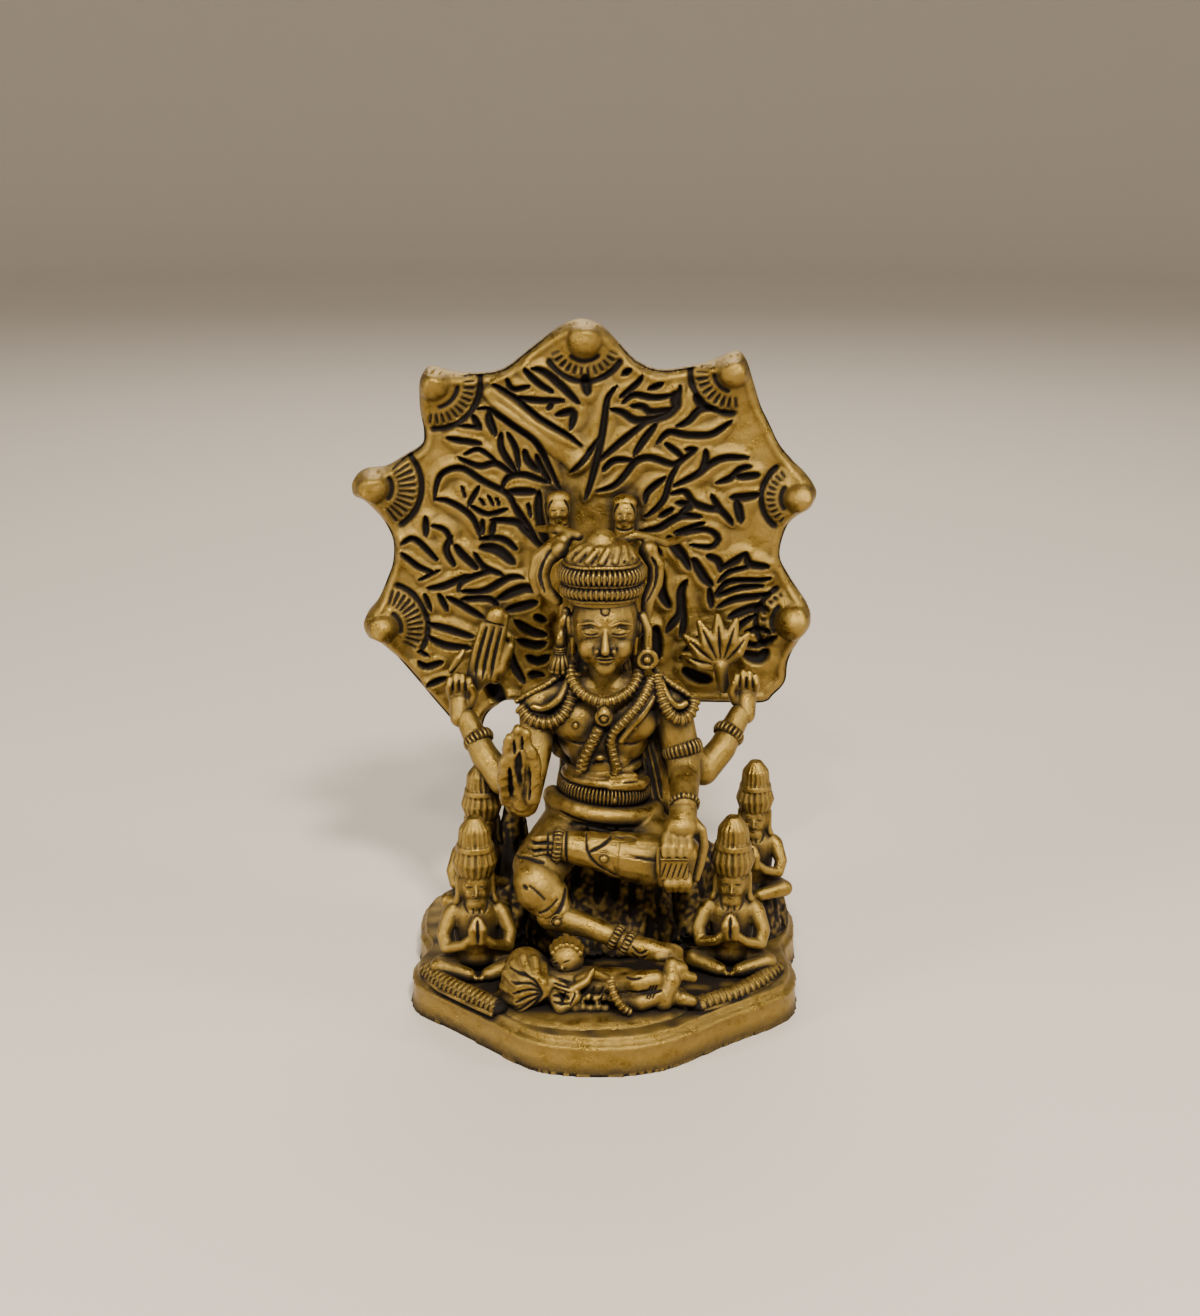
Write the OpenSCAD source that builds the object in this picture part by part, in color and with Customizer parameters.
// Seated teaching figure under a leafy back plate, with four kneeling sages and a
// reclining dwarf, cast in brass. X is across, Y runs from front to back, Z is up.
// The origin is the centre of the underside of the base.

/* [Overall] */
// Overall height, from the underside to the tip of the top knob
total_h = 114.3; // [112:0.1:116]
// Overall width, across the two widest knobs of the back plate
total_w = 81.3; // [81:0.1:83]
// Overall depth of the base
total_d = 62; // [61:0.5:64]

/* [Base] */
// Thickness of the base slab
slab_h = 5; // [4.5:0.1:6]
// How far the upper step of the base stands in from its edge
step_in = 2.4; // [1.5:0.1:3.5]

/* [Back plate] */
// Thickness of the back plate
plate_t = 3.2; // [2.5:0.1:4]
// Distance of the front of the plate behind the centre of the base
plate_y = 24.5; // [24:0.1:25]
// Largest radius of each cone knob
knob_r = 3.6; // [3:0.1:4]
// Radius of the rounded tip of each knob
knob_tip_r = 1.5; // [1.2:0.1:1.8]

/* [Figure] */
// Sideways place of the figure's centre line
fig_x = 3.3; // [2.5:0.1:4]
// Largest radius of the crown, at its lower band
crown_r = 8.1; // [7:0.1:9]
// Half width of the head across the cheeks
head_r = 5.9; // [5.5:0.1:6.3]

/* [Finish] */
// Colour of the brass
brass_colour = "goldenrod"; // [goldenrod, darkgoldenrod, peru]

/* [Hidden] */
$fn = 48;
eps = 0.01;
front_y = -total_d / 2;
rear_y = total_d / 2;
plate_back_y = plate_y + plate_t;
deck_z = slab_h + 1.2;          // top of the upper step
waist_z = 36;

// Knobs round the plate: [x, z, direction in degrees from +X]
knob_tips = [
    [-total_w / 2, 85.2, 172], [total_w / 2, 83.8, 6],
    [-38.5, 60.4, 198], [39.9, 61.2, -14],
    [-27, 104.4, 135], [26.6, 106.3, 48],
    [0, total_h, 90],
];

// Plate outline between the knobs, clockwise from the lower left
plate_core = [
    [-20.3, 38.2], [-34.5, 55.5], [-34.2, 71.5], [-34.5, 77], [-28.6, 93], [-24, 100],
    [-13, 103.4], [0, 107], [13.4, 104], [24, 101.5], [32, 94.5], [35, 78], [35.4, 72],
    [37.6, 56], [35.8, 49], [34, 46.4], [31, 45.4], [14, 45], [-9, 45], [-13.6, 46.1], [-18, 43.1],
];

// ---------------------------------------------------------------- helpers

function length3(v) = sqrt(v * v);

// Turns +Z onto the direction v.
module along(v) {
    rotate([0, acos(v.z / length3(v)), atan2(v.y, v.x)])
        children();
}

// A tapered rod with round ends from a to b, as one surface of revolution.
module limb(a, b, ra, rb) {
    run = length3(b - a);
    lean = asin((ra - rb) / run);
    translate(a) along(b - a) rotate_extrude()
        intersection() {
            union() {
                circle(ra);
                translate([0, run]) circle(rb);
                polygon([
                    [0, 0], [ra * cos(lean), ra * sin(lean)],
                    [rb * cos(lean), run + rb * sin(lean)], [0, run],
                ]);
            }
            translate([0, -ra - 1]) square([ra + rb + 1, run + ra + rb + 2]);
        }
}

// An egg shape with the given half sizes.
module egg(at, half) {
    translate(at) scale(half) sphere(1);
}

// A ring of round section about +Z.
module ring(r, bar) {
    rotate_extrude() translate([r, 0]) circle(bar);
}

// A plain rod with round ends, for small fingers and folded limbs.
module rod(a, b, ra, rb) {
    hull() {
        translate(a) sphere(ra, $fn = 14);
        translate(b) sphere(rb, $fn = 14);
    }
}

// A round bar bent along the circle through a, m and b.
module bent_bar(a, m, b, bar) {
    p = m - a;
    q = b - a;
    axis = cross(p, q);
    mid = a + cross((p * p) * q - (q * q) * p, axis) / (2 * axis * axis);
    n = axis / length3(axis);
    u = (a - mid) / length3(a - mid);
    v = cross(n, u);
    reach = atan2((b - mid) * v, (b - mid) * u);
    multmatrix([
        [u.x, v.x, n.x, mid.x], [u.y, v.y, n.y, mid.y], [u.z, v.z, n.z, mid.z], [0, 0, 0, 1],
    ])
        rotate_extrude(angle = reach < 0 ? reach + 360 : reach)
            translate([length3(a - mid), 0]) circle(bar);
}

// ---------------------------------------------------------------- base

module base_outline() {
    offset(r = -4) offset(r = 8) offset(r = -4)
        polygon([
            [-30.4, -1], [-28.8, -8], [-22.4, -14.4], [-17.6, -19.4], [-12.6, -24.6],
            for (x = [-9 : 3 : 15]) [x, front_y + (x - 2.5) * (x - 2.5) / 52],
            [17.4, -25.6], [21.4, -22], [26, -18.2], [30.8, -14.6], [35.6, -9.6], [37.2, -3],
            [35.8, 7], [38.4, 14], [38.4, 25], [34, rear_y], [16, rear_y], [-8, rear_y],
            [-26, rear_y], [-30.4, 25], [-30.4, 14], [-28.4, 7],
        ]);
}

module base_slab() {
    color(brass_colour) linear_extrude(slab_h) base_outline();
}

module base_step() {
    color(brass_colour) translate([0, 0, slab_h])
        linear_extrude(deck_z - slab_h) offset(delta = -step_in) base_outline();
}

// Two low beaded borders that run along the front flanks of the step.
module rope_borders() {
    color(brass_colour) {
        bent_bar([-26.6, -3.5, deck_z + 0.9], [-20.4, -13.4, deck_z + 0.9],
            [-13, -20.5, deck_z + 0.9], 1.5);
        bent_bar([31.8, -4.5, deck_z + 0.9], [26.4, -11.4, deck_z + 0.9],
            [19, -16, deck_z + 0.9], 1.5);
    }
}

// The rocky seat under the figure, narrowing upwards to the back.
module rock_seat() {
    color(brass_colour) translate([fig_x - 1, 11.5, deck_z]) {
        cylinder(h = 12, r1 = 13.4, r2 = 10.5);
        translate([0, 1, 12 - eps]) cylinder(h = 12, r1 = 10.5, r2 = 8.2);
    }
}

module rock_ledge(x, y, r, h) {
    color(brass_colour) translate([x, y, deck_z]) cylinder(h = h, r1 = r, r2 = r - 1);
}
module left_rock_ledge() {
    rock_ledge(-18, 12, 7.5, 6);
}
module right_rock_ledge() {
    rock_ledge(29.5, 13, 6.4, 8);
}

// ---------------------------------------------------------------- back plate

module plate_outline() {
    offset(r = -7) offset(r = 7) union() {
        polygon(plate_core);
        for (k = knob_tips)
            translate([k.x, k.y]) rotate(k.z) polygon([
                [-0.6, 1.3], [-0.6, -1.3], [-11, -8], [-14, 0], [-11, 8],
            ]);
    }
}

// Puts a flat outline, drawn in X and Z, against the plate's front or back.
module upright(y, t) {
    translate([0, y + t, 0]) rotate([90, 0, 0]) linear_extrude(t) children();
}

module back_plate() {
    color(brass_colour) upright(plate_y, plate_t)
        intersection() {
            plate_outline();
            translate([-total_w / 2, 0]) square([total_w, total_h]);
        }
}

// Places children at each knob, with +Z pointing out of the plate's rim.
module at_knobs(back_off) {
    for (k = knob_tips)
        translate([k.x, plate_y, k.y]) rotate([0, 90 - k.z, 0]) translate([0, 0, -back_off])
            children();
}

module plate_knobs() {
    color(brass_colour) intersection() {
        at_knobs(knob_tip_r)
            limb([0, 0, -5.4], [0, 0, 0], knob_r, knob_tip_r);
        translate([-total_w, plate_y - 8, 0]) cube([2 * total_w, 8 + plate_t, total_h + 9]);
    }
}

module knob_collars() {
    color(brass_colour) intersection() {
        at_knobs(12)
            rotate_extrude() difference() {
                polygon([[0, 0], [7, 0], [7, 1.2], [4.4, 3.8], [0, 3.8]]);
                translate([0, -1]) square([3, 6]);
            }
        translate([-total_w, plate_y - 2, 0]) cube([2 * total_w, 2, total_h + 9]);
    }
}

// The trunk behind the figure, which carries the plate from the seat.
module tree_trunk() {
    color(brass_colour) translate([fig_x, 15.6, 22]) along([0, 6.2, 28]) cylinder(h = 29, r1 = 7, r2 = 5);
}

// Relief branches: [x, z] at each end and the two half widths.
branches = [
    [[-1.5, 89], [-15.5, 101.5], 1.9, 1.3],
    [[3.5, 80], [6, 103], 1.3, 0.9],
    [[-7, 79], [-25, 96], 0.9, 0.7],
    [[-8, 70], [-32, 74], 0.9, 0.7],
    [[9, 82], [24, 100], 0.9, 0.7],
    [[11, 78], [33, 82], 0.9, 0.7],
    [[12, 68], [33, 64], 0.9, 0.7],
];
module tree_branches() {
    color(brass_colour) for (b = branches)
        limb([b[0].x, plate_y, b[0].y], [b[1].x, plate_y, b[1].y], b[2], b[3]);
}

// One leaf of the relief, a flat lens along its own +X.
module leaf(at, turn, long) {
    translate([at.x, plate_y, at.y]) rotate([0, -turn, 0]) translate([long / 2, 0, 0])
        scale([long / 2, 0.9, long / 5]) sphere(1);
}
// Pairs of leaves along each thin branch.
module tree_leaves() {
    color(brass_colour) for (b = [for (i = [2 : len(branches) - 1]) branches[i]]) {
        heading = atan2(b[1].y - b[0].y, b[1].x - b[0].x);
        for (share = [0.35, 0.7])
            for (side = [-1, 1])
                leaf(b[0] + share * (b[1] - b[0]) + 1.6 * side * [-sin(heading), cos(heading)],
                    heading + 40 * side, 7);
    }
}

module tree_bird() {
    color(brass_colour) {
        limb([-21.5, plate_y - 0.4, 84.6], [-14.5, plate_y - 0.3, 81.6], 2.4, 1.4);
        egg([-23.4, plate_y - 0.5, 86.2], [2, 1.5, 2]);
    }
}

module tree_head(x, z) {
    color(brass_colour) {
        egg([x, plate_y - 1.2, z], [2.7, 2.6, 3]);
        limb([x, plate_y - 0.2, z - 3], [x + 0.4, plate_y - 0.4, z - 9], 1.8, 1.5);
    }
}
module left_tree_head() {
    tree_head(-4.6, 82.4);
}
module right_tree_head() {
    tree_head(7.6, 82);
}

// ---------------------------------------------------------------- figure

// Chest, waist and hips, as stacked rods that run across the body.
module torso() {
    color(brass_colour) translate([fig_x, 8.4, 0]) scale([1.34, 1, 1]) rotate_extrude($fn = 40)
        polygon([
            [0, 25], [5.4, 25], [7.2, 28], [7.2, 32], [5.6, 36], [4.9, 38.6], [5.4, 42],
            [6.9, 46], [7.2, 49.6], [6.2, 53], [3.6, 54.8], [2.2, 56], [2.1, 60.5], [0, 60.5],
        ]);
}

module head() {
    color(brass_colour) translate([fig_x + 0.2, 7, 65]) scale([head_r, 6, 7.4]) sphere(1);
}

module crown() {
    color(brass_colour) translate([fig_x, 8.4, 68.4]) rotate_extrude()
        polygon([
            [0, 0], [crown_r - 1, 0], [crown_r, 1], [crown_r, 5.2], [crown_r - 1.6, 7.4],
            [crown_r - 3.6, 9.2], [0, 9.8],
        ]);
}

module tiara() {
    color(brass_colour) translate([fig_x, 8.4, 0]) for (band = [[70, 1.1], [72.8, 1.5]])
        translate([0, 0, band[0]]) ring(crown_r + 0.2, band[1]);
}

module crown_knob() {
    color(brass_colour) translate([fig_x - 0.6, 8.6, 0]) {
        translate([0, 0, 75.4]) cylinder(h = 3.4, r1 = 3.9, r2 = 2.3);
        translate([0, 0, 78.6]) sphere(2.8);
    }
}

// Mass of hair behind the head, which joins the head to the plate.
module rear_hair() {
    color(brass_colour) egg([fig_x, 18, 66], [7, 9.4, 8]);
}

// Hanging locks beside the crown, joined to the plate behind.
module hair_loops() {
    color(brass_colour) for (side = [-1, 1])
        bent_bar([fig_x + side * 6.4, 13.6, 76.4], [fig_x + side * 9.6, 11.6, 71.4],
            [fig_x + side * 7.4, 12.6, 64.6], 1.4);
}

module ear_drop() {
    color(brass_colour) {
        limb([fig_x - 6.7, 7.6, 66], [fig_x - 7.2, 7, 60.9], 1.3, 1.1);
        translate([fig_x - 7.2, 7, 57]) cylinder(h = 4, r1 = 2.3, r2 = 1.5);
    }
}

module ear_ring() {
    color(brass_colour) translate([fig_x + 7, 4.6, 0]) {
        translate([0, 0, 59.7]) rotate([90, 0, 0]) ring(1.9, 0.7);
        translate([0, 0, 59.7]) sphere(1.35);
        limb([0, 1, 61.6], [-0.4, 3.4, 66.4], 0.9, 1.3);
    }
}

module necklace() {
    color(brass_colour) translate([fig_x, 8.6, 56.2]) rotate([28, 0, 0]) ring(6.4, 1.15);
}

module pendant() {
    color(brass_colour) translate([fig_x, 1.5, 50]) rotate([90, 0, 0])
        rotate_extrude() polygon([[0, -1], [2, -1], [2, 0], [1.1, 0.6], [0.8, 1.3], [0, 1.5]]);
}

module sacred_thread() {
    color(brass_colour) bent_bar([fig_x + 8.2, 5, 55.6], [fig_x + 3.4, 0.9, 48.4],
        [fig_x + 1.8, 3.2, 38.6], 0.95);
}

module chest_band() {
    color(brass_colour) bent_bar([fig_x - 0.9, 1.2, 47.6], [fig_x - 3.4, 2, 43.6],
        [fig_x - 4.8, 4.2, 39], 1.2);
}

module shoulder_loops() {
    color(brass_colour) for (side = [-1, 1])
        bent_bar([fig_x + side * 6.8, 5, 56.4], [fig_x + side * 10.2, 3, 49.8],
            [fig_x + side * 13.6, 5.4, 53.4], 1.15);
}

module belt() {
    color(brass_colour) translate([fig_x, 8.4, 0]) for (band = [[38.3, 5.6, 1], [36.1, 6.6, 1.3]])
        translate([0, 0, band[0]]) ring(band[1], band[2]);
}

// Folds of cloth across the lap, as a fat curved roll.
module waist_cloth() {
    color(brass_colour)
        bent_bar([fig_x - 9, 5, 32], [fig_x, 0.8, 31.6], [fig_x + 9.4, 5, 31.4], 2.5);
}

module crossed_leg() {
    color(brass_colour) {
        limb([fig_x + 5, 7.4, 29.6], [fig_x + 12, -3.2, 26.4], 5.4, 4.6);
        limb([fig_x + 12, -3.2, 26.4], [fig_x - 5.6, -4.6, 29.6], 3.7, 2.5);
    }
}

module crossed_foot() {
    color(brass_colour) limb([fig_x - 8.6, -4.6, 30], [fig_x - 11.4, -5.4, 27.8], 2.4, 2.2);
}

module hanging_leg() {
    color(brass_colour) {
        limb([fig_x - 6, 7, 29], [fig_x - 10.6, -4.8, 24.6], 5.2, 4.9);
        limb([fig_x - 10, -5.6, 23.4], [fig_x - 6.6, -8, 19.4], 4.1, 3.5);
        limb([fig_x - 6.6, -8, 19.4], [fig_x + 1, -11.6, 16.4], 2.8, 2.1);
    }
}

module hanging_foot() {
    color(brass_colour) limb([fig_x + 4, -12.6, 15.6], [fig_x + 11.4, -14, 15], 2.3, 1.8);
}

module anklets() {
    color(brass_colour) {
        for (x = [-7.2, -5.8])
            translate([fig_x + x, -4.6, 29.6]) along([1, 0, -0.18]) ring(2.5, 0.8);
        for (x = [1.6, 2.8])
            translate([fig_x + x, -11.8 - (x - 1.6) * 0.4, 16.3 - (x - 1.6) * 0.4])
                along([1, -0.4, -0.4]) ring(2.1, 0.7);
    }
}

// ---------------------------------------------------------------- arms

module right_front_arm() {
    color(brass_colour) limb([fig_x - 11.4, 7, 51.6], [fig_x - 13.2, 1.4, 37.6], 3.5, 2.5);
}

// Raised hand with thumb and first finger closed in a ring.
module teaching_hand() {
    color(brass_colour) translate([fig_x - 14.3, 0, 0]) {
        rod([1, 0.4, 36.4], [0.2, -4, 39.6], 2.1, 1.9);
        rod([0.2, -4, 39.6], [0, -6.4, 43], 1.9, 1.7);
        rod([0, -6.4, 43], [-0.2, -7, 47], 1.9, 2);
        rod([-1.4, -7, 47], [-1.3, -7.6, 50.4], 0.9, 0.8);
        rod([-0.1, -7, 47.4], [0.1, -7.8, 51.6], 0.9, 0.8);
        rod([1.1, -7, 47.4], [1.5, -7.6, 50.8], 0.9, 0.8);
        rod([1.4, -7.6, 46.6], [2, -8.6, 48], 0.9, 0.8);
        rod([1.6, -7.8, 43.4], [2.2, -8.6, 46.4], 0.9, 0.8);
    }
}

module left_front_arm() {
    color(brass_colour) {
        limb([fig_x + 11.4, 7, 51.6], [fig_x + 13.6, 5, 41.6], 3.6, 3);
        limb([fig_x + 13.6, 4.8, 41.4], [fig_x + 13.4, -4.6, 38.4], 2.9, 2.3);
    }
}

module resting_hand() {
    color(brass_colour) translate([fig_x, 0, 0]) {
        rod([13.2, -6.6, 36.6], [12.8, -8.4, 33.4], 2.4, 2.8);
        for (i = [0 : 3]) {
            rod([10.4 + 1.5 * i, -9.4, 32.4], [10 + 1.6 * i, -10.8, 31], 0.9, 0.85);
            rod([10 + 1.6 * i, -9.6, 27], [10.4 + 1.4 * i, -9.2, 24.6], 0.85, 0.7);
        }
        rod([15.6, -8.2, 34], [16.4, -8.8, 29.4], 1.1, 1);
        rod([16.4, -8.8, 29.4], [15.8, -9, 25.6], 1, 0.8);
    }
}

module leaf_book() {
    color(brass_colour) translate([fig_x + 9.7, -10.4, 27.6]) cube([5.4, 2.4, 4.6]);
}

module rear_arm(shoulder, elbow, wrist) {
    limb(shoulder, elbow, 3, 2.5);
    limb(elbow, wrist, 2, 1.7);
}
module right_rear_arm() {
    color(brass_colour) rear_arm([-7.6, 11, 43], [-14.3, 10, 36.4], [-21.4, 17.4, 45.6]);
}
module left_rear_arm() {
    color(brass_colour) rear_arm([14, 11, 43], [20.5, 10, 38.4], [27.8, 17.4, 46.4]);
}

module rear_hand(at, side) {
    color(brass_colour) translate(at) {
        rod([0, 0, -3.4], [0, 0.8, -1.4], 1.8, 2.1);
        rod([0, 0.8, -1.4], [0, 0.8, 0.6], 2.1, 2);
        rod([-side * 1.9, -0.6, -1.8], [-side * 2.8, -1, 1], 0.8, 0.75);
        for (i = [-1.5 : 1.5]) {
            rod([1.25 * i, -0.6, -0.8], [1.25 * i, -1.2, 1.6], 0.75, 0.75);
            rod([1.25 * i, -1.2, 1.6], [1.15 * i, 0.6, 2.6], 0.75, 0.7);
        }
    }
}
module right_rear_hand() {
    rear_hand([-22.7, 19, 49.8], -1);
}
module left_rear_hand() {
    rear_hand([28.7, 19, 50.4], 1);
}

// Close upright tongues that rise beside the right rear hand.
module tall_flame() {
    color(brass_colour) {
        rod([-20.2, 20.6, 49.6], [-19, 21.4, 53], 1.6, 2.4);
        for (i = [0 : 3])
            rod([-20.6 + 1.5 * i, 20.8, 52.6], [-17.6 + 1.4 * i, 21.4, 61.4 + 0.5 * i], 1.2, 0.9);
        rod([-16, 21.8, 60.6], [-15.4, 22.2, 63], 1.9, 1.6);
        rod([-15.6, 21.2, 53.6], [-13.6, 21.2, 58.2], 1.2, 1.1);
        rod([-17.4, 21.4, 51.6], [-14.4, 21.4, 52.6], 1.3, 1.1);
    }
}

// Fan of flame tongues beside the left rear hand.
module fan_flame() {
    color(brass_colour) translate([24, 21, 53.6]) {
        rod([0.6, 0, -4], [0, 0, 0], 1.3, 1.9);
        for (a = [-75 : 22 : 60])
            rod([0, 0, 0], [7.6 * sin(a), 0, 9 * cos(a)], 1.5, 0.7);
    }
}

module armlets() {
    color(brass_colour) {
        translate([fig_x + 13.2, 5.4, 43]) along([0.2, -0.2, -1]) ring(3, 0.9);
        translate([fig_x + 13.4, -4.8, 38.2]) along([0, -1, -0.5]) ring(2.4, 0.8);
        translate([fig_x - 14, -4.4, 40]) along([0, -0.5, 1]) ring(1.9, 0.6);
        translate([-19.6, 15.5, 43.3]) along([-7.1, 7.4, 9.2]) ring(1.9, 0.6);
        translate([26.2, 15.8, 44.6]) along([7.3, 7.4, 8]) ring(1.9, 0.6);
    }
}

// ---------------------------------------------------------------- dwarf

module dwarf_plinth() {
    color(brass_colour) translate([fig_x - 1, -15.6, deck_z]) intersection() {
        linear_extrude(3.4) offset(r = 3) square([27, 8.4], center = true);
        translate([-30, -30, 0]) cube([60, 60, 3.4]);
    }
}

module dwarf_body() {
    color(brass_colour)
        limb([fig_x - 11, -14, 11.6], [fig_x + 3, -14.6, 11.4], 3.9, 3.4);
}

module dwarf_head() {
    color(brass_colour) egg([fig_x - 6.6, -14.6, 16.4], [3.1, 3, 3.1]);
}

module dwarf_hair() {
    color(brass_colour) egg([fig_x - 14.4, -12.6, 12.4], [3.9, 4.6, 5.2]);
}

module dwarf_limbs() {
    color(brass_colour) translate([fig_x, 0, 0]) {
        rod([-10, -17.4, 12], [-5.6, -20.2, 9.6], 1.5, 1.4);
        rod([-5.4, -20.4, 9.6], [1.4, -19.4, 12], 1.4, 1.1);
        rod([1.4, -19.6, 12], [0.4, -20.4, 13.6], 1.2, 0.9);
        rod([3.6, -17, 11.6], [9.4, -18, 12.6], 2.5, 2.2);
        rod([9.4, -18, 12.6], [9.8, -17.4, 10], 2.1, 1.8);
        rod([11.4, -16.4, 10], [13, -15.6, 14.6], 2.5, 1.9);
        rod([13, -15.6, 14.6], [10.6, -14.6, 15.4], 1.8, 1.4);
        rod([11.6, -17.6, 9.8], [15.6, -19.4, 9.9], 1.6, 1.3);
    }
}

module dwarf_snake() {
    color(brass_colour) bent_bar([fig_x + 0.4, -20.8, 13.8], [fig_x + 1.2, -21.8, 11.6],
        [fig_x + 3.6, -21.4, 9.9], 0.8);
}

// ---------------------------------------------------------------- sages

// A kneeling sage with joined hands and a high coiled headdress, facing the front.
module sage(at, size) {
    color(brass_colour) translate(at) scale(size) {
        rod([-4.4, 0, 2.4], [4.4, 0, 2.4], 2.4, 2.4);
        rod([0, 1, 4], [0, 1.4, 11], 4, 3.2);
        rod([0, 0.6, 14.4], [0, 0.6, 16.6], 3.1, 3.3);
        hull() {
            translate([0, 0.8, 18.4]) cylinder(h = 0.8, r = 4.1, $fn = 20);
            translate([0, 0.8, 22]) cylinder(h = 0.8, r = 3.8, $fn = 20);
        }
        rod([0, 0.8, 23], [0, 0.8, 25.6], 3.4, 2.4);
        for (side = [-1, 1]) {
            rod([side * 3.9, 0.4, 11.2], [side * 4.4, -1.6, 6.6], 1.4, 1.1);
            rod([side * 4.4, -1.8, 6.4], [side * 0.9, -3.6, 9], 1.05, 0.9);
        }
        rod([0, -3.8, 8], [0, -3.4, 11.4], 1.2, 0.8);
    }
}
module left_front_sage() {
    sage([-18.6, -4.6, deck_z], 1.02);
}
module left_rear_sage() {
    sage([-18.2, 11.4, deck_z + 6], 0.97);
}
module right_front_sage() {
    sage([25.4, -2.6, deck_z], 1);
}
module right_rear_sage() {
    sage([29.8, 12.6, deck_z + 8], 0.9);
}

// ---------------------------------------------------------------- nodes

base_slab();
base_step();
rope_borders();
rock_seat();
left_rock_ledge();
right_rock_ledge();
tree_trunk();
back_plate();
plate_knobs();
knob_collars();
tree_branches();
tree_leaves();
tree_bird();
left_tree_head();
right_tree_head();
torso();
head();
crown();
tiara();
crown_knob();
rear_hair();
hair_loops();
ear_drop();
ear_ring();
necklace();
pendant();
sacred_thread();
chest_band();
shoulder_loops();
belt();
waist_cloth();
crossed_leg();
crossed_foot();
hanging_leg();
hanging_foot();
anklets();
right_front_arm();
teaching_hand();
left_front_arm();
resting_hand();
leaf_book();
right_rear_arm();
right_rear_hand();
tall_flame();
left_rear_arm();
left_rear_hand();
fan_flame();
armlets();
dwarf_plinth();
dwarf_body();
dwarf_head();
dwarf_hair();
dwarf_limbs();
dwarf_snake();
left_front_sage();
left_rear_sage();
right_front_sage();
right_rear_sage();
